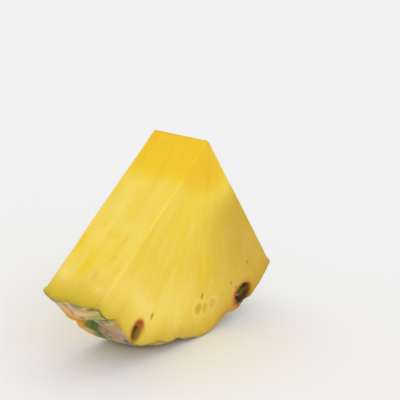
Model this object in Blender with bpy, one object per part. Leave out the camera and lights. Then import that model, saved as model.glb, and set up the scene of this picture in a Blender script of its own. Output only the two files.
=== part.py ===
"""A quarter of a thick pineapple slice, cut with its rind on and standing on that rind.

The fruit's own axis runs along Y, with the crown end at -Y. Two flat cuts across it are the front face (-Y)
and the back face (+Y), and two flat cuts through it meet at a right angle along the top edge, which is the
middle of the core. The fourth side is the rind: domed fruitlets, uneven in size and height, each with a
pointed bract and a blossom eye. Three blossom cups lie open in the flat cuts.
The origin is on the floor, under the middle of the piece's box. Metres, +Z up.
"""

import math

import bmesh
import bpy
import numpy as np
from mathutils import Matrix, Vector

# The piece as a whole.
FRUIT_RADIUS = 0.060  # from the fruit's axis to the plain height of a fruitlet
SLICE_THICKNESS = 0.020
SWEEP = math.radians(90)  # between the two cuts through the axis
DOWN_ANGLE = math.radians(50)  # from the left cut round to straight down
APEX_HEIGHT = 0.0607  # the top edge above the floor, where the lowest fruitlet is cut off level to rest on

# The fruitlets on and beside the piece: angle from the left cut in degrees, place along the axis and height
# above plain in millimetres, and how steeply the top leans round the fruit.
FRUITLETS = (
    (-7.42, -22.38, -0.86, -0.01),
    (-3.28, -1.24, 0.98, 0.02),
    (3.31, 27.31, -0.29, -0.11),
    (21.25, -15.72, 0.56, 0.06),
    (37.59, 0.63, 2.98, 0.02),
    (37.92, -19.40, 1.21, -0.08),
    (47.61, -4.15, 0.49, 0.01),
    (63.14, 12.30, 0.14, 0.01),
    (79.64, -16.02, 0.83, 0.03),
    (87.58, 4.47, -0.88, -0.12),
    (93.75, 19.61, 0.56, -0.04),
    (102.97, -9.09, 0.58, 0.09),
)

# The relief of one fruitlet.
DOME_DROP = 0.0017  # from its top to the edge of its groove
DOME_REACH = 0.0082
GROOVE_DEPTH = 0.0009
GROOVE_HALF_WIDTH = 0.0011
BRACT_RISE = 0.0007
BRACT_HALF_WIDTH = 0.0075
BRACT_LENGTH = 0.0125  # from the fruitlet's stem side to the tip
BRACT_EDGE = 0.0024
EYE_DEPTH = 0.0014
EYE_RADIUS = 0.0019
EYE_OFFSET = 0.0032  # from the fruitlet's middle, towards the crown
EYE_MARGIN = 0.0030  # an eye nearer than this to a flat cut leaves no dimple

# The blossom cups that lie open in the flat cuts: face, angle, share of the radius, half width.
FRONT, BACK = -1, 1
BLOSSOM_CUPS = (
    (FRONT, math.radians(19.8), 0.952, 0.0029),
    (FRONT, math.radians(74.6), 0.948, 0.0044),
    (BACK, math.radians(31.0), 0.938, 0.0027),
)
CUP_RADIAL = 0.0027  # half of its length along the fruit's radius
CUP_DEPTH = 0.0026

# How finely the rind is meshed.
RIND_COLUMNS = 126
RIND_ROWS = 27

HALF_THICKNESS = SLICE_THICKNESS / 2


def smooth_step(value):
    """0 below 0, 1 above 1, and a smooth rise between them."""
    t = np.clip(value, 0.0, 1.0)
    return t * t * (3 - 2 * t)


def fruitlet_centres():
    """Arc length, axial place, height and lean of every fruitlet."""
    rows = [
        (FRUIT_RADIUS * math.radians(angle), place / 1000, height / 1000, lean)
        for angle, place, height, lean in FRUITLETS
    ]
    return np.array(rows)


def pick(values, index):
    return np.take_along_axis(values, index[..., None], -1)[..., 0]


def groove_distances(arc, place, centres):
    """Each point's own fruitlet, and its distance from the groove round that fruitlet."""
    along = arc[..., None] - centres[:, 0]
    up = centres[:, 1] - place[..., None]  # towards the crown
    reach = along**2 + up**2
    own = np.argmin(reach, axis=-1)
    gaps = np.hypot(
        centres[own, 0][..., None] - centres[:, 0],
        centres[own, 1][..., None] - centres[:, 1],
    )
    excess = reach - pick(reach, own)[..., None]
    to_side = np.where(gaps > 0, excess / (2 * np.maximum(gaps, 1e-9)), np.inf)
    return own, to_side.min(axis=-1), pick(along, own), pick(up, own)


def bract_height(along, up):
    """The pointed bract: broad at the fruitlet's stem side, drawn in to a tip past its middle."""
    run = np.clip((up + BRACT_LENGTH * 0.8) / BRACT_LENGTH, 0.0, 1.0)
    half_width = BRACT_HALF_WIDTH * (1 - run**1.8)
    side = smooth_step((half_width - np.abs(along)) / BRACT_EDGE)
    return BRACT_RISE * side * (0.3 + 0.7 * run)


def rind_radius(angle, place):
    """How far the rind's surface lies from the fruit's axis."""
    centres = fruitlet_centres()
    own, to_side, along, up = groove_distances(FRUIT_RADIUS * angle, place, centres)
    dome = DOME_DROP * (1 - smooth_step(to_side / DOME_REACH))
    groove = GROOVE_DEPTH * (1 - smooth_step(to_side / GROOVE_HALF_WIDTH))
    rise = smooth_step(to_side / GROOVE_HALF_WIDTH)
    eye_place = centres[own, 1] - EYE_OFFSET
    clear = smooth_step((HALF_THICKNESS - np.abs(eye_place)) / EYE_MARGIN)
    from_eye = np.hypot(along, up - EYE_OFFSET)
    eye = EYE_DEPTH * clear * np.exp(-((from_eye / EYE_RADIUS) ** 2))
    height = centres[own, 2] + centres[own, 3] * along + bract_height(along, up)
    return FRUIT_RADIUS + height * rise - dome - groove - eye


def rind_grid():
    """The angles and places that the rind is meshed at, and its radius at each."""
    angles = np.linspace(0.0, SWEEP, RIND_COLUMNS + 1)
    places = np.linspace(-HALF_THICKNESS, HALF_THICKNESS, RIND_ROWS + 1)
    return angles, places, rind_radius(*np.meshgrid(angles, places, indexing="ij"))


def axis_offset():
    """How far right of the box's middle the fruit's axis lies."""
    angles, _, radii = rind_grid()
    across = radii * np.sin(angles - DOWN_ANGLE)[:, None]
    return -float(across.min() + across.max()) / 2


AXIS_X = axis_offset()


def at(angle, radius, place):
    """A point from its angle round the fruit (from the left cut), its radius and its place along the axis."""
    turn = angle - DOWN_ANGLE
    return (
        AXIS_X + radius * math.sin(turn),
        place,
        APEX_HEIGHT - radius * math.cos(turn),
    )


def make_material():
    material = bpy.data.materials.new("pineapple_flesh")
    material.use_nodes = True
    shader = material.node_tree.nodes["Principled BSDF"]
    shader.inputs["Base Color"].default_value = (0.88, 0.64, 0.09, 1)
    shader.inputs["Roughness"].default_value = 0.42
    shader.inputs["Metallic"].default_value = 0.0
    return material


def flatten_foot(shape):
    """Cuts the lowest fruitlets off level at the floor and closes them, so that the piece stands."""
    cut = bmesh.ops.bisect_plane(
        shape,
        geom=shape.verts[:] + shape.edges[:] + shape.faces[:],
        dist=1e-6,
        plane_co=Vector((0, 0, 0)),
        plane_no=Vector((0, 0, -1)),
        clear_outer=True,
    )
    rims = [item for item in cut["geom_cut"] if isinstance(item, bmesh.types.BMEdge)]
    bmesh.ops.edgenet_fill(shape, edges=rims)
    bmesh.ops.recalc_face_normals(shape, faces=shape.faces)


def make_wedge():
    """The piece before its cups are opened: the rind, and the four flat cuts that close it."""
    angles, places, radii = rind_grid()

    shape = bmesh.new()
    front_apex = shape.verts.new(at(0.0, 0.0, -HALF_THICKNESS))
    back_apex = shape.verts.new(at(0.0, 0.0, HALF_THICKNESS))
    rind = [
        [shape.verts.new(at(angle, radius, place)) for radius, place in zip(column, places)]
        for angle, column in zip(angles, radii)
    ]
    for near, far in zip(rind, rind[1:]):
        for i in range(RIND_ROWS):
            shape.faces.new((near[i], far[i], far[i + 1], near[i + 1]))
    shape.faces.new([front_apex] + [column[0] for column in rind])
    shape.faces.new([back_apex] + [column[-1] for column in rind])
    shape.faces.new([front_apex, back_apex] + rind[0][::-1])
    shape.faces.new([front_apex, back_apex] + rind[-1][::-1])
    bmesh.ops.recalc_face_normals(shape, faces=shape.faces)
    flatten_foot(shape)

    mesh = bpy.data.meshes.new("pineapple_quarter_slice")
    shape.to_mesh(mesh)
    shape.free()
    wedge = bpy.data.objects.new("pineapple_quarter_slice", mesh)
    bpy.context.collection.objects.link(wedge)
    mesh.materials.append(make_material())
    mesh.shade_smooth()
    mesh.set_sharp_from_angle(angle=math.radians(40))
    return wedge


def make_cup_cutter(face, angle, share, half_width):
    """An egg-shaped cutter that lies half sunk in a flat cut."""
    shape = bmesh.new()
    bmesh.ops.create_uvsphere(shape, u_segments=20, v_segments=12, radius=1.0)
    half_size = Vector((half_width, CUP_DEPTH, CUP_RADIAL))
    bmesh.ops.scale(shape, vec=half_size, verts=shape.verts)
    mesh = bpy.data.meshes.new("cup_cutter")
    shape.to_mesh(mesh)
    shape.free()
    cutter = bpy.data.objects.new("cup_cutter", mesh)
    bpy.context.collection.objects.link(cutter)
    middle = at(angle, share * FRUIT_RADIUS, face * HALF_THICKNESS)
    turn = Matrix.Rotation(DOWN_ANGLE - angle, 4, "Y")
    cutter.matrix_world = Matrix.Translation(middle) @ turn
    cutter.hide_render = True
    cutter.display_type = "WIRE"
    return cutter


def main():
    for old in list(bpy.data.objects):
        bpy.data.objects.remove(old)
    wedge = make_wedge()
    for cup in BLOSSOM_CUPS:
        opening = wedge.modifiers.new("blossom cup", "BOOLEAN")
        opening.operation = "DIFFERENCE"
        opening.object = make_cup_cutter(*cup)


main()
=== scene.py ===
import math

import bpy
import numpy as np
from mathutils import Matrix, Vector


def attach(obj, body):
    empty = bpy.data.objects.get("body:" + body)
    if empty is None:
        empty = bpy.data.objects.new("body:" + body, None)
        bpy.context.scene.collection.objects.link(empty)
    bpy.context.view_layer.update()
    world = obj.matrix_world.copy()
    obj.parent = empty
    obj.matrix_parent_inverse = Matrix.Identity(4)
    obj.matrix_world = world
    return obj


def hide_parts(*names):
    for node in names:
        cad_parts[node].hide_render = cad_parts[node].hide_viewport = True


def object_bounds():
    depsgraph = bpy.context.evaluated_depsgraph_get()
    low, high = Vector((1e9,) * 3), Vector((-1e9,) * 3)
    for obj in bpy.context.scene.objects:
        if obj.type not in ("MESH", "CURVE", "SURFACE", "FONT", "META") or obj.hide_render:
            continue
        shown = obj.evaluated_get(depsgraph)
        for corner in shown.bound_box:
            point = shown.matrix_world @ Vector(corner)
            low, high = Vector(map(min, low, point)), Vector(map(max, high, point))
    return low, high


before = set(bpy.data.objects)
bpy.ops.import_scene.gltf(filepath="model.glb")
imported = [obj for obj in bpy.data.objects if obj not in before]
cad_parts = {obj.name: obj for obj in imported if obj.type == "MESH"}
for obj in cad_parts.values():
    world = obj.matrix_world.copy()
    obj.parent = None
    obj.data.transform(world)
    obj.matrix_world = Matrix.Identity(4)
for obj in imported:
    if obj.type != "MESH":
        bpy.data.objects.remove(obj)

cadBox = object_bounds()
cadLow, cadHigh = cadBox
print("frame loaded")

# the fruit that the quarter was cut from; its axis runs along Y and its crown lies towards -Y
fruit = {
    "radius": 0.060,
    "halfThickness": 0.010,
    "sweep": 90,  # degrees between the two cuts through the axis
    "downAngle": 50,  # from the left cut round to straight down
    "axisX": 0.004659,
    "apexHeight": cadHigh.z,
}
fruitR = fruit["radius"]
halfT = fruit["halfThickness"]
sweep = math.radians(fruit["sweep"])
downAngle = math.radians(fruit["downAngle"])
axisPoint = (fruit["axisX"], 0.0, fruit["apexHeight"])

# angle from the left cut, place along the axis and height in mm, and lean of each fruitlet's top
fruitlets = (
    (-7.42, -22.38, -0.86, -0.01), (-3.28, -1.24, 0.98, 0.02), (3.31, 27.31, -0.29, -0.11),
    (21.25, -15.72, 0.56, 0.06), (37.59, 0.63, 2.98, 0.02), (37.92, -19.40, 1.21, -0.08),
    (47.61, -4.15, 0.49, 0.01), (63.14, 12.30, 0.14, 0.01), (79.64, -16.02, 0.83, 0.03),
    (87.58, 4.47, -0.88, -0.12), (93.75, 19.61, 0.56, -0.04), (102.97, -9.09, 0.58, 0.09),
)
centreArc = np.array([math.radians(row[0]) * fruitR for row in fruitlets])
centrePlace = np.array([row[1] / 1000 for row in fruitlets])
centreHeight = np.array([row[2] / 1000 for row in fruitlets])
centreLean = np.array([row[3] for row in fruitlets])

relief = {
    "domeDrop": 0.0017,
    "domeReach": 0.0082,
    "grooveDepth": 0.0009,
    "grooveHalfWidth": 0.0011,
    "bractRise": 0.0007,
    "bractHalfWidth": 0.0075,
    "bractLength": 0.0125,
    "bractEdge": 0.0024,
    "eyeDepth": 0.0014,
    "eyeRadius": 0.0019,
    "eyeOffset": 0.0032,  # from the fruitlet's middle, towards the crown
    "eyeMargin": 0.0030,
    "rimCalm": 0.0035,
}

# where the rind swells or falls in besides: degrees round, mm along, sizes in the same units and height in mm
swellings = (
    (36.0, -6.2, 4.2, 2.8, -2.3), (35.5, -10.8, 4.4, 1.7, 1.1),
    (15.0, 10.6, 4.2, 2.6, 3.0), (21.0, -10.5, 5.0, 2.0, 0.35),
)

# blossom pits that lie open in the flat faces: side (-1 front, 1 back), angle round the fruit, share of the
# radius, half sizes round and along the radius, depth, the way its rusty edge lies, and the dried shreds in it
# (from and to in degrees and share of the radius, width, and how far they stand up)
blossomPits = (
    {"side": -1, "angle": 19.6, "share": 0.968, "around": 0.0029, "along": 0.0034, "depth": 0.0008,
     "rust": -104, "soft": 0.60, "bed": 1.0,
     "shreds": (((19.4, 0.946), (19.8, 0.988), 0.00045, -0.0005, -1.0),)},
    {"side": -1, "angle": 74.4, "share": 0.960, "around": 0.0052, "along": 0.0038, "depth": 0.0030,
     "rust": 222, "soft": 0.30, "bed": 0.10, "shreds": (
         ((71.6, 0.980), (73.4, 0.962), 0.00055, 0.0009, 0.75),
         ((73.4, 0.962), (76.8, 0.948), 0.00045, 0.0007, 0.65),
         ((75.0, 0.990), (78.2, 0.968), 0.00050, 0.0004, 0.3))},
    {"side": 1, "angle": 31.0, "share": 0.938, "around": 0.0029, "along": 0.0028, "depth": 0.0022,
     "rust": -80, "soft": 0.40, "bed": 0.6,
     "shreds": (((30.2, 0.925), (31.6, 0.955), 0.00050, 0.0006, 0.6),)},
)

noiseTable = np.random.RandomState(5).rand(32, 32, 32)


def smoothStep(value):
    share = np.clip(value, 0.0, 1.0)
    return share * share * (3 - 2 * share)


def softNoise(x, y, z):
    # smooth random values from 0 to 1, one lattice step to a unit
    corners = []
    for value in np.broadcast_arrays(x, y, z):
        low = np.floor(value).astype(int)
        share = value - low
        corners.append((low % 32, (low + 1) % 32, share * share * (3 - 2 * share)))
    (x0, x1, xs), (y0, y1, ys), (z0, z1, zs) = corners
    total = 0
    for ix, wx in ((x0, 1 - xs), (x1, xs)):
        for iy, wy in ((y0, 1 - ys), (y1, ys)):
            for iz, wz in ((z0, 1 - zs), (z1, zs)):
                total = total + noiseTable[ix, iy, iz] * wx * wy * wz
    return total


def fractal(x, y, z, octaves=3):
    total, weight = 0, 1.0
    for step in range(octaves):
        total = total + weight * (softNoise(x * 2**step + step * 7, y * 2**step, z * 2**step) - 0.5)
        weight *= 0.5
    return total


def toRow(angle, radius, place):
    turn = angle - downAngle
    return np.stack((
        axisPoint[0] + radius * np.sin(turn),
        place,
        axisPoint[2] - radius * np.cos(turn),
    ), axis=-1)


def rindRadius(angle, place):
    # the rind's radius; its grooves run out softly at both rims
    radius = rindLook(angle, place)["radius"]
    calm = 1 - smoothStep((halfT - np.abs(place)) / relief["rimCalm"])
    mean = 0
    for step, weight in ((-2, 0.13), (-1, 0.23), (0, 0.28), (1, 0.23), (2, 0.13)):
        mean = mean + weight * rindLook(np.clip(angle + step * 0.0011 / fruitR, 0, sweep), place)["radius"]
    radius = radius + (mean - radius) * calm
    for middle, spot, wide, long, height in swellings:
        reach = ((np.degrees(angle) - middle) / wide) ** 2 + ((place * 1000 - spot) / long) ** 2
        radius = radius + height / 1000 * np.exp(-reach)
    return radius


def rindLook(angle, place):
    # the rind's radius, and where each point lies on its own fruitlet
    along = fruitR * angle[..., None] - centreArc
    up = centrePlace - place[..., None]  # towards the crown is positive
    reach = along**2 + up**2
    own = np.argmin(reach, axis=-1)
    gaps = np.hypot(centreArc[own][..., None] - centreArc, centrePlace[own][..., None] - centrePlace)
    ownReach = np.take_along_axis(reach, own[..., None], -1)
    toSides = np.where(gaps > 0, (reach - ownReach) / (2 * np.maximum(gaps, 1e-9)), np.inf)
    toSide = toSides.min(-1)
    rounded = toSide - 0.0011 * np.log(np.exp((toSide[..., None] - toSides) / 0.0011).sum(-1))
    along = np.take_along_axis(along, own[..., None], -1)[..., 0]
    up = np.take_along_axis(up, own[..., None], -1)[..., 0]

    run = np.clip((up + relief["bractLength"] * 0.8) / relief["bractLength"], 0, 1)
    halfWidth = relief["bractHalfWidth"] * (1 - run**1.8)
    bract = smoothStep((halfWidth - np.abs(along)) / relief["bractEdge"])
    dome = relief["domeDrop"] * (1 - smoothStep(toSide / relief["domeReach"]))
    groove = relief["grooveDepth"] * (1 - smoothStep(toSide / relief["grooveHalfWidth"]))
    rise = smoothStep(toSide / relief["grooveHalfWidth"])
    eyePlace = centrePlace[own] - relief["eyeOffset"]
    clear = smoothStep((halfT - np.abs(eyePlace)) / relief["eyeMargin"])
    fromEye = np.hypot(along, up - relief["eyeOffset"])
    eye = relief["eyeDepth"] * clear * np.exp(-((fromEye / relief["eyeRadius"]) ** 2))
    height = centreHeight[own] + centreLean[own] * along
    height = height + relief["bractRise"] * bract * (0.3 + 0.7 * run)
    radius = fruitR + height * rise - dome - groove - eye
    return {
        "radius": radius, "own": own, "toSide": toSide, "along": along, "up": up,
        "bract": bract, "run": run, "fromEye": fromEye, "clear": clear, "rounded": rounded,
    }


def fromLine(across, out, start, end):
    # how far a point lies from a short straight line
    wayX, wayY = end[0] - start[0], end[1] - start[1]
    share = np.clip(((across - start[0]) * wayX + (out - start[1]) * wayY) / (wayX**2 + wayY**2), 0, 1)
    return np.hypot(across - start[0] - share * wayX, out - start[1] - share * wayY)


def pitShape(side, angle, radius):
    # how deep the open blossom pits lie at each point of one face, and how they are coloured
    look = {name: np.zeros_like(radius) for name in ("depth", "dark", "rust", "pale", "bed")}
    for pit in blossomPits:
        if pit["side"] != side:
            continue
        across = (angle - math.radians(pit["angle"])) * fruitR
        out = radius - pit["share"] * fruitR
        way = np.arctan2(out, across)
        reach = np.hypot(across / pit["around"], out / pit["along"])
        reach = reach * (1 + 0.2 * (softNoise(way * 1.6 + 9, pit["angle"] * 0.37, 0.5) - 0.5))
        depth = pit["depth"] * (1 - smoothStep((reach - 0.42) / 0.62))
        for start, end, width, height, pale in pit["shreds"]:  # a pale of -1 is a dark slit
            first, last = [
                (math.radians(way - pit["angle"]) * fruitR, (share - pit["share"]) * fruitR)
                for way, share in (start, end)
            ]
            away = fromLine(across, out, first, last) / width
            ridge = np.exp(-(away**2))
            depth = depth - height * ridge
            look["pale"] = np.where(np.abs(look["pale"]) > np.abs(pale * ridge), look["pale"], pale * ridge)
        look["depth"] = np.maximum(look["depth"], depth)
        look["dark"] = np.maximum(look["dark"], 1 - smoothStep((reach - 1.02 + pit["soft"]) / pit["soft"]))
        bed = (1 - smoothStep((reach - 0.50) / 0.45)) * smoothStep(out / 0.003 + 0.9)
        look["bed"] = np.maximum(look["bed"], pit["bed"] * bed)
        facing = 0.5 + 0.5 * np.cos(way - math.radians(pit["rust"]))
        ring = np.exp(-(((reach - 0.88) / 0.23) ** 2)) + 0.45 * np.exp(-(((reach - 1.1) / 0.25) ** 2))
        look["rust"] = np.maximum(look["rust"], np.clip(ring, 0, 1) * (0.10 + 0.90 * facing**1.6))
    return look


def sweepQuarter(name, inner, outer, radialRows, axialRows, steps):
    # a flat section standing in the left cut, spun a quarter turn about the fruit's axis
    bpy.ops.object.select_all(action="DESELECT")
    middle = toRow(np.array(0.0), np.array((inner + outer) / 2), np.array(0.0))
    bpy.ops.mesh.primitive_grid_add(
        x_subdivisions=radialRows, y_subdivisions=axialRows, size=1,
        location=middle, rotation=(0, math.pi / 2 + downAngle, 0),
    )
    piece = bpy.context.object
    piece.name = name
    piece.data.name = name
    piece.scale = (outer - inner, 2 * halfT, 1)
    bpy.ops.object.transform_apply(location=True, rotation=True, scale=True)
    bpy.ops.object.mode_set(mode="EDIT")
    bpy.ops.mesh.select_all(action="SELECT")
    bpy.ops.mesh.spin(steps=steps, angle=sweep, center=axisPoint, axis=(0, 1, 0))
    bpy.ops.mesh.select_all(action="SELECT")
    bpy.ops.mesh.remove_doubles(threshold=1e-6)
    bpy.ops.mesh.normals_make_consistent(inside=False)
    bpy.ops.object.mode_set(mode="OBJECT")
    return piece


def readPoints(piece):
    points = np.empty(len(piece.data.vertices) * 3)
    piece.data.vertices.foreach_get("co", points)
    return points.reshape(-1, 3)


def writePoints(piece, points):
    piece.data.vertices.foreach_set("co", points.astype(np.float32).ravel())
    piece.data.update()


def polarOf(points):
    x = points[:, 0] - axisPoint[0]
    down = axisPoint[2] - points[:, 2]
    radius = np.hypot(x, down)
    angle = np.where(radius > 1e-5, np.arctan2(x, down) + downAngle, sweep / 2)
    return angle, radius, points[:, 1]


def store(piece, name, values):
    kind = "FLOAT_VECTOR" if values.ndim == 2 else "FLOAT"
    layer = piece.data.attributes.new(name, kind, "POINT")
    layer.data.foreach_set("vector" if values.ndim == 2 else "value", values.astype(np.float32).ravel())


def srgb(red, green, blue):
    def line(value):
        value /= 255
        return value / 12.92 if value <= 0.04045 else ((value + 0.055) / 1.055) ** 2.4
    return (line(red), line(green), line(blue), 1)


# node helpers: each adds one node and gives back its output
def startMaterial(name):
    material = bpy.data.materials.new(name)
    material.use_nodes = True
    tree = material.node_tree
    return material, tree, tree.nodes["Principled BSDF"]


def plug(tree, target, value):
    if isinstance(value, bpy.types.NodeSocket):
        tree.links.new(value, target)
    else:
        target.default_value = value


def mixColour(tree, share, first, second, way="MIX"):
    node = tree.nodes.new("ShaderNodeMix")
    node.data_type = "RGBA"
    node.blend_type = way
    plug(tree, node.inputs[0], share)
    plug(tree, node.inputs[6], first)
    plug(tree, node.inputs[7], second)
    return node.outputs[2]


def sums(tree, way, first, second=0.0, clamp=False):
    node = tree.nodes.new("ShaderNodeMath")
    node.operation = way
    node.use_clamp = clamp
    plug(tree, node.inputs[0], first)
    plug(tree, node.inputs[1], second)
    return node.outputs[0]


def span(tree, value, low, high, toLow=0.0, toHigh=1.0):
    node = tree.nodes.new("ShaderNodeMapRange")
    node.interpolation_type = "SMOOTHSTEP"
    plug(tree, node.inputs["Value"], value)
    node.inputs["From Min"].default_value = low
    node.inputs["From Max"].default_value = high
    node.inputs["To Min"].default_value = toLow
    node.inputs["To Max"].default_value = toHigh
    return node.outputs["Result"]


def attribute(tree, name, output="Fac"):
    node = tree.nodes.new("ShaderNodeAttribute")
    node.attribute_name = name
    return node.outputs[output]


def scaled(tree, vector, factors):
    node = tree.nodes.new("ShaderNodeVectorMath")
    node.operation = "MULTIPLY"
    plug(tree, node.inputs[0], vector)
    node.inputs[1].default_value = factors
    return node.outputs[0]


def noise(tree, vector, scale, detail=2.0, roughness=0.5, distortion=0.0):
    node = tree.nodes.new("ShaderNodeTexNoise")
    plug(tree, node.inputs["Vector"], vector)
    node.inputs["Scale"].default_value = scale
    node.inputs["Detail"].default_value = detail
    node.inputs["Roughness"].default_value = roughness
    node.inputs["Distortion"].default_value = distortion
    return node.outputs["Fac"]


def objectPlace(tree):
    return tree.nodes.new("ShaderNodeTexCoord").outputs["Object"]


def bump(tree, height, strength, distance, normal=None):
    node = tree.nodes.new("ShaderNodeBump")
    node.inputs["Strength"].default_value = strength
    node.inputs["Distance"].default_value = distance
    plug(tree, node.inputs["Height"], height)
    if normal is not None:
        plug(tree, node.inputs["Normal"], normal)
    return node.outputs["Normal"]


# the flesh
flesh = {
    "radialRows": 96,
    "thicknessRows": 36,
    "turnSteps": 200,
    "rimBunching": 0.45,  # rows crowd towards the rim by this share
    "underRind": 0.0009,
    "skin": 0.0002,  # how far inside the rind's surface the flesh ends
    "edgeEase": 0.0006,
    "rimEase": 0.0002,
    "swell": 0.00022,
    "fibre": 0.00005,
    # the strength of the painted shadow on the right-hand side of the front face
    "mottle": 0.36,
    "neighbourShadow": 0.62,
}

# small marks in the front and back faces: side, angle, share of the radius, half sizes round and along,
# depth, tone (up to 1 tan, above that brown, below 0 pale) and lean
seedMarks = (
    (-1, 49.7, 0.850, 0.00185, 0.00170, 0.00045, 0.98, -20),
    (-1, 53.3, 0.862, 0.00130, 0.00165, 0.00035, 0.85, 8),
    (-1, 57.4, 0.860, 0.00170, 0.00165, 0.00030, 0.55, 22),
    (-1, 51.5, 0.792, 0.00040, 0.00115, 0.00050, 1.5, 24),
    (-1, 24.3, 0.870, 0.00045, 0.00125, 0.00045, 1.35, 0),
    (-1, 57.4, 0.735, 0.00030, 0.00040, 0.00000, -0.5, 0),
    (-1, 69.0, 0.830, 0.00035, 0.00085, 0.00040, 1.35, 10),
    (-1, 71.2, 0.879, 0.00040, 0.00070, 0.00030, 1.3, 0),
    (-1, 80.1, 0.813, 0.00070, 0.00110, 0.00030, 1.2, 0),
    (1, 54.6, 0.846, 0.00150, 0.00150, 0.00040, 0.9, 14),
    (1, 58.4, 0.852, 0.00100, 0.00140, 0.00035, 0.7, -10),
    (1, 47.0, 0.800, 0.00040, 0.00115, 0.00050, 1.4, -15),
    (1, 69.0, 0.870, 0.00120, 0.00140, 0.00040, 0.8, 8),
)

# soft stains: face, place (angle in degrees, or mm along the axis on the two cuts), share of the radius,
# sizes in the same units, tone and strength
stains = (
    ("left", 9.0, 0.70, 1.6, 0.10, "amber", 0.85), ("left", 2.4, 0.78, 1.9, 0.080, "amber", 0.95),
    ("left", -8.4, 0.80, 2.0, 0.035, "amber", 0.80), ("left", 5.0, 0.58, 0.9, 0.030, "amber", 0.70),
    ("left", -2.6, 0.84, 0.8, 0.026, "rust", 0.30), ("left", 8.6, 0.36, 1.8, 0.070, "amber", 0.45),
    ("left", -4.6, 0.80, 1.6, 0.060, "light", 0.35), ("left", 6.8, 0.87, 2.4, 0.030, "light", 0.50),
    ("left", -6.0, 0.55, 3.0, 0.120, "light", 0.25), ("left", -6.2, 0.90, 2.0, 0.026, "light", 0.45),
    ("front", 53.0, 0.66, 4.2, 0.100, "amber", 0.95), ("front", 16.0, 0.83, 13.0, 0.055, "light", 0.60),
    ("front", 31.0, 0.80, 8.0, 0.090, "light", 0.40), ("front", 63.5, 0.84, 2.6, 0.080, "light", 0.40),
    ("front", 64.0, 1.00, 7.0, 0.028, "rust", 0.50), ("front", 68.0, 0.96, 2.5, 0.020, "rust", 0.25),
    ("front", 49.0, 0.81, 2.2, 0.020, "light", 0.55),
    ("front", 40.0, 0.975, 8.0, 0.020, "tan", 0.40), ("front", 5.0, 0.58, 3.0, 0.040, "amber", 0.35),
    ("right", -6.0, 0.70, 2.4, 0.090, "amber", 0.80), ("right", 4.5, 0.80, 3.0, 0.060, "amber", 0.70),
    ("right", 1.0, 0.52, 2.2, 0.080, "light", 0.45), ("right", 7.0, 0.62, 1.4, 0.060, "amber", 0.50),
    ("back", 62.0, 0.70, 6.0, 0.090, "amber", 0.80), ("back", 18.0, 0.66, 5.0, 0.070, "amber", 0.60),
    ("back", 42.0, 0.83, 9.0, 0.060, "light", 0.50), ("back", 78.0, 0.84, 5.0, 0.050, "amber", 0.60),
)


def warpAngle(share):
    # columns crowd round the pits and near the two cuts
    fine = np.linspace(0, 1, 721)
    degrees = fine * fruit["sweep"]
    dense = np.ones_like(fine)
    for middle, spread, more in ((20, 5, 1.4), (53, 6, 0.7), (75, 6.5, 1.6), (0, 1.5, 1.2), (90, 1.5, 1.2)):
        dense = dense + more * np.exp(-(((degrees - middle) / spread) ** 2))
    total = np.concatenate(([0], np.cumsum((dense[1:] + dense[:-1]) / 2)))
    return np.interp(share, total / total[-1], fine)


def easeIn(distance, size):
    return 0.293 * size * np.clip(1 - distance / size, 0, 1) ** 3.41


def floorReach(angle):
    # how far out along each angle the floor lies
    down = np.cos(angle - downAngle)
    return np.where(down > 0.05, (fruit["apexHeight"] - 0.00002) / np.maximum(down, 0.05), 1.0)


def markShape(side, angle, radius):
    depth, tone, halo = np.zeros_like(radius), np.zeros_like(radius), np.zeros_like(radius)
    for mark in seedMarks:
        if mark[0] != side:
            continue
        lean = math.radians(mark[7])
        across = (angle - math.radians(mark[1])) * radius
        out = radius - mark[2] * fruitR
        first = (across * math.cos(lean) + out * math.sin(lean)) / mark[3]
        second = (out * math.cos(lean) - across * math.sin(lean)) / mark[4]
        reach = np.hypot(first, second)
        depth = np.maximum(depth, mark[5] * (1 - smoothStep((reach - 0.2) / 0.9)))
        spot = mark[6] * (1 - smoothStep((reach - 0.6) / 0.6))
        tone = np.where(np.abs(spot) > np.abs(tone), spot, tone)
        halo = np.maximum(halo, np.exp(-(((reach - 1.35) / 0.3) ** 2)) * (mark[6] < 1))
    return depth, tone, halo


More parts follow.
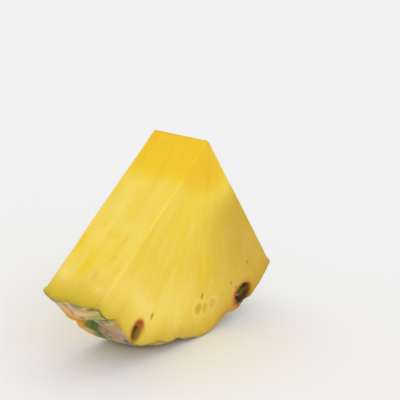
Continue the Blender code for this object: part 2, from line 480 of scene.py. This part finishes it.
def makeFlesh():
    piece = sweepQuarter(
        "pineapple_flesh", 0.0, fruitR, flesh["radialRows"], flesh["thicknessRows"], flesh["turnSteps"]
    )
    angle, radius, place = polarOf(readPoints(piece))
    turn = angle / sweep
    out = radius / fruitR
    deep = place / halfT
    onAxis = radius < 1e-5

    turn = np.where(onAxis, 0.5, warpAngle(turn))
    out = out + flesh["rimBunching"] * out * (1 - out)
    deep = deep + 0.16 * np.sin(math.pi * deep)
    angle = turn * sweep
    place = deep * halfT
    rim = np.minimum(rindRadius(angle, place), floorReach(angle)) - flesh["skin"]
    inside = np.minimum(halfT - np.abs(place), fruitR * np.minimum(angle, sweep - angle))
    rim = rim - flesh["underRind"] * smoothStep(inside / 0.0015)
    radius = out * rim

    # how far each flat face sinks at a point
    fade = smoothStep(radius / 0.014) * smoothStep((rim - radius) / 0.0025)
    swell = flesh["swell"] * smoothStep((rim - radius) / 0.0025)
    sinks, pits, marks = {}, {}, {}
    for side in (-1, 1):
        pit = pitShape(side, angle, radius)
        mark = markShape(side, angle, radius)
        sink = pit["depth"] + mark[0]
        sink = sink + swell * (fractal(radius / 0.013 + side * 3, angle * 3, 0.3, 2) + 0.4)
        streak = softNoise(angle * 62, radius / 0.009, 4.0 + side) - 0.5
        streak = streak + 0.6 * (softNoise(angle * 120, radius / 0.005, 8.0 + side) - 0.5)
        sink = sink + flesh["fibre"] * streak * fade * (1 - pit["dark"])
        toEdge = np.minimum(radius * np.sin(angle), radius * np.sin(sweep - angle))
        toEdge = np.where(onAxis, 0, toEdge)
        sink = sink + easeIn(toEdge, flesh["edgeEase"]) + easeIn(rim - radius, flesh["rimEase"])
        sinks[side], pits[side], marks[side] = sink, pit, mark
    share = (deep + 1) / 2
    newPlace = place + sinks[-1] * (1 - share) - sinks[1] * share

    toFace = halfT - np.abs(place)
    swing = swell * (0.8 * fractal(radius / 0.012, place / 0.012, 5.7, 2) + 0.4)
    swing = swing + flesh["fibre"] * (softNoise(place / 0.0010, radius / 0.007, 2.5) - 0.5) * fade
    swing = swing + easeIn(toFace, flesh["edgeEase"]) + easeIn(radius, flesh["edgeEase"])
    swing = swing + easeIn(rim - radius, flesh["rimEase"])
    points = toRow(angle, radius, newPlace)
    turnedIn = np.stack((np.cos(angle - downAngle), np.zeros_like(angle), np.sin(angle - downAngle)), -1)
    points += turnedIn * (swing * (1 - turn) - swing * turn)[:, None]
    points[onAxis, 2] -= swing[onAxis]  # both cuts meet along the top edge, which sinks a little
    writePoints(piece, points)

    store(piece, "grain", np.stack((angle, radius / fruitR, place / fruitR), -1))
    tint, wet = fleshTint(angle, radius, place, rim, pits, marks)
    store(piece, "tint", tint)
    store(piece, "wet", wet)
    bpy.ops.object.shade_smooth()
    print("flesh made,", len(piece.data.polygons), "faces")
    return piece


# the flesh from the fruit's axis out to the rind, on the two cuts and on the two flat faces
fleshRamps = {
    # the cuts' ramp turns olive and darker towards the rind: partly the flesh's own tone under the rind, partly
    # painted shade
    "cut": (
        (0.00, 241, 197, 30), (0.20, 242, 200, 36), (0.25, 243, 204, 44), (0.31, 243, 214, 80),
        (0.45, 243, 216, 94), (0.66, 243, 215, 90), (0.80, 242, 211, 78), (0.88, 235, 204, 76),
        (0.93, 224, 193, 66), (0.975, 206, 177, 48), (1.0, 182, 158, 34),
    ),
    "face": (
        (0.00, 241, 197, 34), (0.20, 241, 196, 24), (0.25, 241, 204, 40), (0.30, 241, 212, 66),
        (0.45, 239, 209, 62), (0.62, 237, 205, 62), (0.76, 240, 210, 76), (0.86, 241, 212, 84),
        (0.92, 234, 202, 76), (0.97, 222, 190, 60), (1.0, 206, 172, 44),
    ),
}
fleshPaint = {
    "amber": (242, 206, 20),
    "orange": (238, 178, 16),
    "light": (246, 224, 124),
    "shade": (184, 138, 8),
    "tan": (206, 168, 84),
    "rust": (204, 104, 20),
    "rustDeep": (150, 46, 12),
    "seed": (206, 164, 48),
    "seedDeep": (160, 108, 26),
    "pit": (52, 26, 6),
    "pitBed": (146, 108, 26),
    "shred": (196, 158, 88),
    "slit": (58, 36, 10),
    "white": (255, 244, 200),
}


def blend(colours, name, share):
    tone = np.array(srgb(*fleshPaint[name])[:3])
    share = np.clip(share, 0, 1)[:, None]
    return colours + (tone - colours) * share


def ramp(name, share):
    rows = fleshRamps[name]
    tones = np.array([srgb(*row[1:])[:3] for row in rows])
    return np.stack([np.interp(share, [row[0] for row in rows], tones[:, i]) for i in range(3)], -1)


def fleshTint(angle, radius, place, rim, pits, marks):
    # the flesh's colour at each point, and how wet it looks
    degrees = np.degrees(angle)
    out = radius / rim
    wave = 0.016 * fractal(angle * 5, radius / 0.02, place / 0.008, 2)
    mottle = fractal(angle / 0.085 + 5, radius / 0.0085, place / 0.0045, 3)
    small = fractal(angle / 0.030, radius / 0.0034 + 9, place / 0.0016, 2)
    cut = ramp("cut", out + wave)
    face = ramp("face", out + wave * 0.8)
    sides = {"left": (place * 1000, cut), "right": (place * 1000, cut),
             "front": (degrees, face), "back": (degrees, face)}
    weights = {
        "front": smoothStep((-place / halfT - 0.93) / 0.06),
        "back": smoothStep((place / halfT - 0.93) / 0.06),
    }
    weights["left"] = (1 - weights["front"] - weights["back"]) * (degrees < 45)
    weights["right"] = (1 - weights["front"] - weights["back"]) * (degrees >= 45)
    total = 0
    for name, (across, colours) in sides.items():
        for stain in stains:
            if stain[0] != name:
                continue
            ragged = 1 + 0.5 * fractal(across * 0.5 / stain[3] + 3, radius / 0.006, stain[2] * 9, 2)
            reach = ((across - stain[1]) / stain[3]) ** 2 + ((out - stain[2]) / stain[4]) ** 2
            colours = blend(colours, stain[5], stain[6] * np.exp(-reach * ragged))
        total = total + colours * weights[name][:, None]
    body = smoothStep((out - 0.24) / 0.15) * smoothStep((1.0 - out) / 0.1)
    total = blend(total, "amber", smoothStep((mottle - 0.10) / 0.35) * body * flesh["mottle"])
    total = blend(total, "light", smoothStep((-mottle - 0.08) / 0.35) * body * flesh["mottle"] * 0.7)
    flecks = smoothStep((small + mottle - 0.40) / 0.45) * smoothStep((out - 0.5) / 0.15)
    total = blend(total, "orange", flecks * 0.30)
    total = blend(total, "orange", smoothStep((mottle - 0.05) / 0.4) * smoothStep((0.27 - out) / 0.08) * 0.30)
    # painted shadow: the front face is darkened towards brown on its right-hand side, where the neighbouring
    # slice shades it
    neighbourShadow = smoothStep((degrees - 34) / 52) * smoothStep((out - 0.26) / 0.20)
    total = blend(total, "shade", neighbourShadow * weights["front"] * flesh["neighbourShadow"])
    for side in (-1, 1):
        near = smoothStep((side * place / halfT - 0.6) / 0.2)
        depth, tone, halo = marks[side]
        total = blend(total, "light", halo * near * 0.16)
        total = blend(total, "seed", tone * near * 0.8)
        total = blend(total, "seedDeep", (tone - 1) * near * 1.8)
        total = blend(total, "white", -tone * near)
        pit = pits[side]
        total = blend(total, "rust", pit["rust"] * near)
        # the blossom pits' dark brown is their own colour with painted shade of the hollow in it
        total = blend(total, "pit", pit["dark"] * near)
        total = blend(total, "pitBed", pit["bed"] * near * 0.9)
        total = blend(total, "rustDeep", pit["rust"] ** 3 * near * 0.8)
        total = blend(total, "shred", pit["pale"] * near * 0.9)
        total = blend(total, "slit", -pit["pale"] * near * 0.85)
    # the edge between the left cut and the front face catches the light
    ridge = smoothStep((out - 0.22) / 0.1) * smoothStep((0.98 - out) / 0.1)
    ridge = ridge * (0.6 + 0.8 * fractal(out * 14, 0.3, 0.7, 2)) * (1 - 0.7 * smoothStep((out - 0.55) / 0.25))
    toFront = np.hypot(place + halfT, radius * np.sin(angle))
    total = blend(total, "light", ridge * np.exp(-((toFront / 0.0004) ** 2)) * 0.55)
    wet = 1 - np.maximum(pits[-1]["dark"], pits[1]["dark"])
    return total, wet


def makeFleshMaterial():
    material, tree, shader = startMaterial("cut pineapple flesh")
    grain = attribute(tree, "grain", "Vector")
    place = objectPlace(tree)
    wet = attribute(tree, "wet")
    streaks = noise(tree, scaled(tree, grain, (34, 5, 34)), 1.0, 3.0, 0.55)
    broad = noise(tree, scaled(tree, grain, (13, 2.6, 13)), 1.0, 3.0, 0.6, 0.3)
    fine = noise(tree, scaled(tree, grain, (110, 11, 110)), 1.0, 3.0, 0.6)
    colour = attribute(tree, "tint", "Color")
    light = mixColour(tree, 1.0, colour, (1.05, 1.07, 1.22, 1), "MULTIPLY")
    deep = mixColour(tree, 1.0, colour, (0.96, 0.91, 0.72, 1), "MULTIPLY")
    colour = mixColour(tree, span(tree, broad, 0.52, 0.72, 0.0, 0.42), colour, light)
    colour = mixColour(tree, span(tree, broad, 0.28, 0.48, 0.42, 0.0), colour, deep)
    colour = mixColour(tree, span(tree, streaks, 0.50, 0.72, 0.0, 0.36), colour, light)
    colour = mixColour(tree, span(tree, streaks, 0.28, 0.48, 0.36, 0.0), colour, deep)
    colour = mixColour(tree, span(tree, fine, 0.55, 0.78, 0.0, 0.22), colour, light)
    # painted glints: tiny white specks of light on the wet juice are painted into the base colour
    paintedGlints = sums(tree, "MULTIPLY", span(tree, noise(tree, place, 1300, 1.0), 0.73, 0.82, 0.0, 0.5), wet)
    colour = mixColour(tree, paintedGlints, colour, srgb(*fleshPaint["white"]))
    tree.links.new(colour, shader.inputs["Base Color"])
    rough = span(tree, noise(tree, place, 420, 3.0), 0.35, 0.70, 0.32, 0.55)
    dry = sums(tree, "MULTIPLY", sums(tree, "SUBTRACT", 1.0, wet), 0.25)
    tree.links.new(sums(tree, "ADD", rough, dry), shader.inputs["Roughness"])
    shader.inputs["Specular IOR Level"].default_value = 0.22
    shader.inputs["Specular Tint"].default_value = (1.0, 0.88, 0.50, 1)
    shader.inputs["Subsurface Weight"].default_value = 0.25
    shader.inputs["Subsurface Radius"].default_value = (1.0, 0.55, 0.12)
    shader.inputs["Subsurface Scale"].default_value = 0.0016
    shader.inputs["Coat Weight"].default_value = 0.03
    shader.inputs["Coat Roughness"].default_value = 0.22
    height = sums(tree, "ADD", fine, sums(tree, "MULTIPLY", noise(tree, place, 1500, 3.0), 0.6))
    tree.links.new(bump(tree, height, 0.30, 0.00025), shader.inputs["Normal"])
    return material


# the rind
rind = {
    "thickness": 0.0013,
    "radialRows": 2,
    "thicknessRows": 84,
    "turnSteps": 350,
    "recess": 0.00008,
    "papery": 0.00022,  # how high the folds of a dry bract stand
}
rindPaint = {
    "groove": (78, 112, 30), "grooveDark": (52, 68, 18), "shoulder": (150, 166, 60), "leafGreen": (118, 142, 72),
    "paleGreen": (200, 206, 160), "lime": (184, 170, 62), "olive": (156, 146, 40), "oliveDark": (112, 114, 36),
    "teal": (110, 146, 104), "tan": (206, 178, 128), "gold": (214, 172, 58), "orange": (230, 166, 52),
    "peach": (236, 196, 142), "salmon": (224, 144, 74), "pink": (214, 172, 138), "cream": (222, 204, 140),
    "taupe": (170, 138, 100), "straw": (196, 158, 90), "goldBrown": (178, 130, 38), "mauve": (196, 160, 136),
    "greyMauve": (168, 142, 132), "lilac": (208, 188, 192), "bark": (98, 66, 46), "fold": (132, 102, 94),
    "spot": (86, 58, 34), "inner": (206, 178, 58),
}

# how the rind is coloured beside the left cut, as soft strokes: way points (degrees round, mm along the axis),
# half width in mm, colour, strength and height in mm
strokes = (
    (((5.0, 1.8), (10.0, 3.6), (16.0, 7.4), (19.0, 8.0)), 3.0, "orange", 1.0, 0.0),
    (((5.0, 8.6), (11.0, 8.8), (20.0, 8.6), (24.0, 6.8)), 1.9, "orange", 1.0, 0.0),
    (((19.0, 6.8), (24.0, 7.4)), 0.8, "peach", 0.5, 0.0),
    (((29.0, -8.6), (34.0, -7.4), (40.0, -8.0)), 2.6, "straw", 0.9, 0.0),
    (((9.6, 2.6), (13.6, 5.4)), 0.6, "peach", 0.6, 0.0),
    (((6.2, -1.2), (9.0, 0.8), (12.4, 3.6)), 0.9, "goldBrown", 0.8, -0.05),
    (((3.6, 3.6), (5.4, 2.2), (8.0, 2.4)), 1.2, "peach", 0.6, 0.0),
    (((0.6, 2.0), (4.5, 0.8), (6.4, 1.7)), 0.9, "taupe", 0.9, 0.15),
    (((2.0, 0.4), (4.0, -0.8), (6.0, 0.1)), 1.0, "pink", 0.9, 0.20),
    (((3.0, -4.8), (4.1, -1.9), (5.6, -0.8)), 1.2, "cream", 0.9, 0.20),
    (((1.2, -6.4), (1.8, -1.6)), 0.6, "salmon", 0.9, 0.10),
    (((0.3, -4.4), (0.4, -1.0)), 0.55, "teal", 0.95, 0.0),
    (((0.4, 10.0), (0.5, 4.2)), 0.7, "olive", 0.9, 0.0),
    (((3.2, -9.6), (5.0, -6.2), (7.0, -3.6)), 1.4, "lime", 0.95, 0.05),
    (((1.0, -9.4), (1.4, -7.2)), 0.8, "gold", 0.8, 0.0),
    (((6.6, -8.6), (9.0, -4.4), (11.4, -0.4), (13.6, 2.0)), 0.9, "leafGreen", 0.9, -0.10),
    (((7.8, -8.4), (10.2, -4.2), (13.0, 0.0)), 0.5, "grooveDark", 0.9, -0.20),
    (((9.4, -9.8), (12.4, -7.4)), 1.3, "gold", 0.9, 0.0),
    (((12.4, -9.4), (14.6, -6.6)), 1.4, "straw", 0.95, 0.05),
    (((15.4, -8.8), (17.5, -6.0), (18.4, -3.8)), 1.8, "mauve", 0.95, 0.10),
    (((11.8, -5.4), (14.0, -2.6), (16.4, 0.6)), 0.7, "olive", 0.7, 0.0),
    (((15.0, -5.4), (17.8, -0.8)), 1.1, "straw", 0.9, 0.05),
    (((18.4, 4.8), (21.5, 3.9), (25.4, 5.2)), 1.9, "leafGreen", 0.95, -0.05),
    (((18.8, 4.5), (21.5, 3.8), (23.8, 4.5)), 0.6, "groove", 0.9, -0.15),
    (((20.4, 2.0), (24.0, -0.6), (27.8, -2.0)), 2.0, "mauve", 1.0, 0.10),
    (((22.0, 0.2), (25.8, -1.6)), 0.8, "pink", 0.7, 0.05),
    (((22.4, 2.0), (25.6, 2.1)), 0.8, "fold", 0.6, -0.05),
    (((24.4, -1.9), (27.6, -0.7), (29.0, 1.0)), 0.35, "lilac", 0.9, 0.08),
    (((25.4, -3.4), (28.6, -1.2)), 0.35, "fold", 0.8, -0.06),
    (((27.0, 1.0), (29.6, 2.8)), 1.2, "cream", 0.7, 0.0),
    (((0.5, -6.6), (0.7, -9.9), (4.6, -9.9), (8.5, -9.8)), 0.45, "oliveDark", 0.9, -0.05),
)


def strokeShare(angle, place, wayPoints, halfWidth):
    # a soft stroke that thins out and frays towards both its ends
    arc = angle * fruitR * 1000
    along = place * 1000
    arc, along = (
        arc + 0.5 * fractal(arc / 1.7, along / 1.7, 2.2, 2),
        along + 0.5 * fractal(arc / 1.7, along / 1.7, 6.6, 2),
    )
    spots = [(math.radians(way[0]) * fruitR * 1000, way[1]) for way in wayPoints]
    away = np.min([fromLine(arc, along, start, end) for start, end in zip(spots, spots[1:])], axis=0)
    toTip = np.minimum(*[np.hypot(arc - tip[0], along - tip[1]) for tip in (spots[0], spots[-1])])
    thin = 0.55 if halfWidth < 1 else 0.9
    width = halfWidth * (thin + (1 - thin) * smoothStep(toTip / (2.2 * halfWidth)))
    ragged = 0.45 * width * fractal(arc / 0.7, along / 0.7, halfWidth * 7, 3)
    return 1 - smoothStep((away + ragged - 0.45 * width) / (0.25 + 0.7 * width))


def makeRind():
    piece = sweepQuarter(
        "pineapple_rind", fruitR - rind["thickness"], fruitR,
        rind["radialRows"], rind["thicknessRows"], rind["turnSteps"],
    )
    angle, radius, place = polarOf(readPoints(piece))
    skinShare = (radius - fruitR + rind["thickness"]) / rind["thickness"]
    turn = angle / sweep
    deep = place / halfT
    recess = rind["recess"]
    angle = recess / fruitR + turn * (sweep - 2 * recess / fruitR)
    place = deep * (halfT - recess)
    rim = rindRadius(angle, place)
    look = rindLook(angle, place)
    toSide, along, up, own = look["toSide"], look["along"], look["up"], look["own"]
    # papery folds of each bract run together at its tip
    tipWay = np.arctan2(along, 0.006 - up)
    tipReach = np.hypot(along, 0.006 - up)
    folds = softNoise(tipWay * 7 + own * 3.7, tipReach / 0.006, own * 1.3)
    away = smoothStep(toSide / 0.002)
    outer = rim + rind["papery"] * (folds - 0.5) * 2 * look["bract"] * away
    outer = outer + 0.00010 * fractal(angle * 60, place / 0.001, 1.5, 2) * away
    shares = [strokeShare(angle, place, stroke[0], stroke[1]) for stroke in strokes]
    for stroke, share in zip(strokes, shares):
        outer = outer + stroke[4] / 1000 * share
    outer = outer - easeIn(halfT - np.abs(place), 0.0005)
    outer = outer - easeIn(angle * fruitR, 0.0005) - easeIn((sweep - angle) * fruitR, 0.0005)
    outer = np.minimum(outer, floorReach(angle))
    radius = outer - (1 - skinShare) * rind["thickness"]
    pits = {}
    for side in (-1, 1):  # the pits cut into the rind's edge as well
        pits[side] = pitShape(side, angle, radius)
        place = place - side * pits[side]["depth"] * (1 + side * deep) / 2
    writePoints(piece, toRow(angle, radius, place))

    wander = 0.0022 * fractal(angle * fruitR / 0.0042, place / 0.0042, 1.7, 3)
    sway = 0.0022 * fractal(angle * fruitR / 0.0042, place / 0.0042, 8.3, 3)
    loose = rindLook(angle + wander / fruitR, place + sway)
    store(piece, "tint", rindTint(angle, place, loose, shares, skinShare, pits, deep))
    store(piece, "folds", np.stack((tipWay * 7 + own * 3.7, tipReach / 0.006, own * 1.3), -1))
    store(piece, "bract", look["bract"] * away * skinShare)
    bpy.ops.object.shade_smooth()
    print("rind made,", len(piece.data.polygons), "faces")
    return piece


def rindTint(angle, place, look, shares, skinShare, pits, deep):
    def over(colours, name, share):
        tone = np.array(srgb(*rindPaint[name])[:3])
        return colours + (tone - colours) * np.clip(share, 0, 1)[:, None]

    toSide = look["rounded"] * 1000
    own = look["own"]
    luck = np.random.RandomState(11).rand(len(centreArc), 3)[own]
    arc = angle * fruitR
    clouds = fractal(arc / 0.0024, place / 0.0024, 3.1, 3) + 0.5
    small = fractal(arc / 0.0009, place / 0.0009, 7.7, 2) + 0.5
    along, up = look["along"] * 1000, look["up"] * 1000
    fromMiddle = np.hypot(along, up) + (clouds - 0.5) * 3
    colours = np.ones((len(angle), 3)) * np.array(srgb(*rindPaint["tan"])[:3])
    colours = over(colours, "pink", smoothStep((clouds - 0.40) / 0.5) * 0.7)
    colours = over(colours, "orange", smoothStep((clouds + luck[:, 0] * 0.6 - 0.85) / 0.6) * 0.5)
    colours = over(colours, "greyMauve", smoothStep((0.60 - clouds) / 0.4) * 0.6)
    colours = over(colours, "taupe", smoothStep((small - 0.58) / 0.25) * 0.5)
    colours = over(colours, "bark", smoothStep((small + 0.4 * clouds - 0.98) / 0.2) * 0.35)
    colours = over(colours, "paleGreen", smoothStep((fromMiddle - 4.5) / 4.5) * 0.45)
    bract = look["bract"] * (0.8 + 0.6 * (small - 0.5))
    colours = over(colours, "mauve", bract * 0.7)
    colours = over(colours, "straw", bract * smoothStep((clouds - 0.45) / 0.4) * 0.5)
    colours = over(colours, "greyMauve", bract * smoothStep((look["run"] - 0.4) / 0.6) * 0.6)
    edge = smoothStep((bract - 0.05) / 0.35) * (1 - smoothStep((bract - 0.4) / 0.45))
    colours = over(colours, "cream", edge * (0.2 + 0.4 * smoothStep((clouds - 0.3) / 0.5)))
    fromEye = look["fromEye"] * 1000 + (1 - look["clear"]) * 20 + (small - 0.5) * 2.2
    colours = over(colours, "straw", (1 - smoothStep((fromEye - 1.3) / 2.4)) * 0.5)
    colours = over(colours, "bark", (1 - smoothStep((fromEye - 0.3) / 1.8)) * 0.7)
    colours = over(colours, "spot", (1 - smoothStep((fromEye - 0.1) / 0.8)) * 0.7)
    wobble = toSide + 0.7 + (clouds - 0.5) * 1.5
    groovy = 0.5 + 0.5 * smoothStep((fractal(arc / 0.006, place / 0.006, 5.5, 2) + 0.25) / 0.5)
    colours = over(colours, "paleGreen", (1 - smoothStep((wobble - 2.0) / 1.6)) * 0.8)
    colours = over(colours, "shoulder", (1 - smoothStep((wobble - 1.5) / 1.4)) * 0.8)
    colours = over(colours, "leafGreen", (1 - smoothStep((wobble - 0.9) / 1.3)) * 0.9)
    colours = over(colours, "groove", (1 - smoothStep((wobble - 0.5) / 0.9)) * 0.9 * groovy)
    colours = over(colours, "grooveDark", (1 - smoothStep((wobble - 0.1) / 0.6)) * 0.7 * groovy)
    for stroke, share in zip(strokes, shares):
        colours = over(colours, stroke[2], share * stroke[3])
    rimBand = 1 - smoothStep((place + halfT - 0.0007) / 0.0009)
    colours = over(colours, "inner", rimBand * smoothStep((np.degrees(angle) - 16) / 5) * 0.85)
    colours = over(colours, "inner", 1 - smoothStep((skinShare - 0.55) / 0.42))
    for side in (-1, 1):
        near = smoothStep((side * deep - 0.8) / 0.15)
        colours = over(colours, "bark", pits[side]["rust"] * near * 0.8)
        # the blossom pits' dark brown on the rind's edge is their own colour with painted shade of the hollow in
        # it
        colours = over(colours, "spot", pits[side]["dark"] * near)
    return colours


def makeRindMaterial():
    material, tree, shader = startMaterial("pineapple rind")
    place = objectPlace(tree)
    clouds = noise(tree, place, 420, 4.0, 0.6, 0.5)
    colour = attribute(tree, "tint", "Color")
    colour = mixColour(tree, span(tree, clouds, 0.50, 0.70, 0.0, 0.5), colour,
                       mixColour(tree, 1.0, colour, (1.18, 1.16, 1.2, 1), "MULTIPLY"))
    colour = mixColour(tree, span(tree, clouds, 0.30, 0.50, 0.5, 0.0), colour,
                       mixColour(tree, 1.0, colour, (0.74, 0.72, 0.66, 1), "MULTIPLY"))
    lines = noise(tree, scaled(tree, attribute(tree, "folds", "Vector"), (1, 0.6, 1)), 3.4, 4.0, 0.65)
    bract = attribute(tree, "bract")
    line = sums(tree, "MULTIPLY", span(tree, lines, 0.50, 0.60, 0.0, 0.65), bract)
    colour = mixColour(tree, line, colour, srgb(*rindPaint["fold"]))
    glint = sums(tree, "MULTIPLY", span(tree, lines, 0.30, 0.40, 0.45, 0.0), bract)
    colour = mixColour(tree, glint, colour, srgb(*rindPaint["lilac"]))
    tree.links.new(colour, shader.inputs["Base Color"])
    tree.links.new(span(tree, clouds, 0.3, 0.7, 0.48, 0.68), shader.inputs["Roughness"])
    shader.inputs["Specular IOR Level"].default_value = 0.3
    height = sums(tree, "ADD", clouds, noise(tree, place, 1400, 3.0))
    height = sums(tree, "ADD", height, sums(tree, "MULTIPLY", lines, bract))
    tree.links.new(bump(tree, height, 0.4, 0.0004), shader.inputs["Normal"])
    return material


fleshPiece = makeFlesh()
fleshPiece.data.materials.append(makeFleshMaterial())
rindPiece = makeRind()
rindPiece.data.materials.append(makeRindMaterial())
for piece in (fleshPiece, rindPiece):
    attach(piece, "root")
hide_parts("pineapple_quarter_slice")

# floor, light and camera
stage = {
    "floorSize": 6.0,
    "floorTone": 0.915,
    "skyTone": srgb(242, 242, 242),
    "skyStrength": 1.0,
    "sunStrength": 0.45,
    "sunAngle": 40,
    "sunFrom": (-0.45, -0.75, 0.60),
}


def makeFloor():
    bpy.ops.object.select_all(action="DESELECT")
    bpy.ops.mesh.primitive_plane_add(size=stage["floorSize"], location=(0, 0, cadLow.z))
    floor = bpy.context.object
    floor.name = "floor"
    material, tree, shader = startMaterial("pale floor")
    grain = noise(tree, objectPlace(tree), 40, 3.0)
    tone = stage["floorTone"]
    paper = mixColour(tree, grain, (tone * 0.995,) * 3 + (1,), (tone,) * 3 + (1,))
    tree.links.new(paper, shader.inputs["Base Color"])
    shader.inputs["Roughness"].default_value = 0.9
    shader.inputs["Specular IOR Level"].default_value = 0.0
    floor.data.materials.append(material)


def makeLight():
    world = bpy.data.worlds.new("studio")
    bpy.context.scene.world = world
    world.use_nodes = True
    world.node_tree.nodes["Background"].inputs[0].default_value = stage["skyTone"]
    world.node_tree.nodes["Background"].inputs[1].default_value = stage["skyStrength"]
    light = bpy.data.lights.new("soft key", "SUN")
    light.energy = stage["sunStrength"]
    light.angle = math.radians(stage["sunAngle"])
    key = bpy.data.objects.new("soft key", light)
    bpy.context.collection.objects.link(key)
    key.rotation_mode = "QUATERNION"
    key.rotation_quaternion = Vector(stage["sunFrom"]).to_track_quat("Z", "Y")


# the camera stands to the front left and a little above
view = {
    "from": (-4.2897, -3.0189, 1.1512),  # from the front end of the top edge, in fruit radii
    "right": (0.59113, -0.80472, 0.05471),
    "up": (0.18344, 0.20018, 0.96243),
    "back": (-0.78544, -0.55889, 0.26595),
    "lens": 102.08,
}


def makeCamera():
    lens = bpy.data.cameras.new("camera")
    lens.lens = view["lens"]
    lens.sensor_width = 36
    lens.clip_start = 0.01
    camera = bpy.data.objects.new("camera", lens)
    bpy.context.collection.objects.link(camera)
    tip = (axisPoint[0], -halfT, axisPoint[2])
    turn = Matrix((view["right"], view["up"], view["back"])).transposed()
    camera.matrix_world = turn.to_4x4()
    camera.location = [tip[i] + view["from"][i] * fruitR for i in range(3)]
    bpy.context.scene.camera = camera


makeFloor()
makeLight()
makeCamera()
bpy.context.scene.view_settings.view_transform = "Standard"
bpy.context.scene.view_settings.look = "None"
print("stage set")
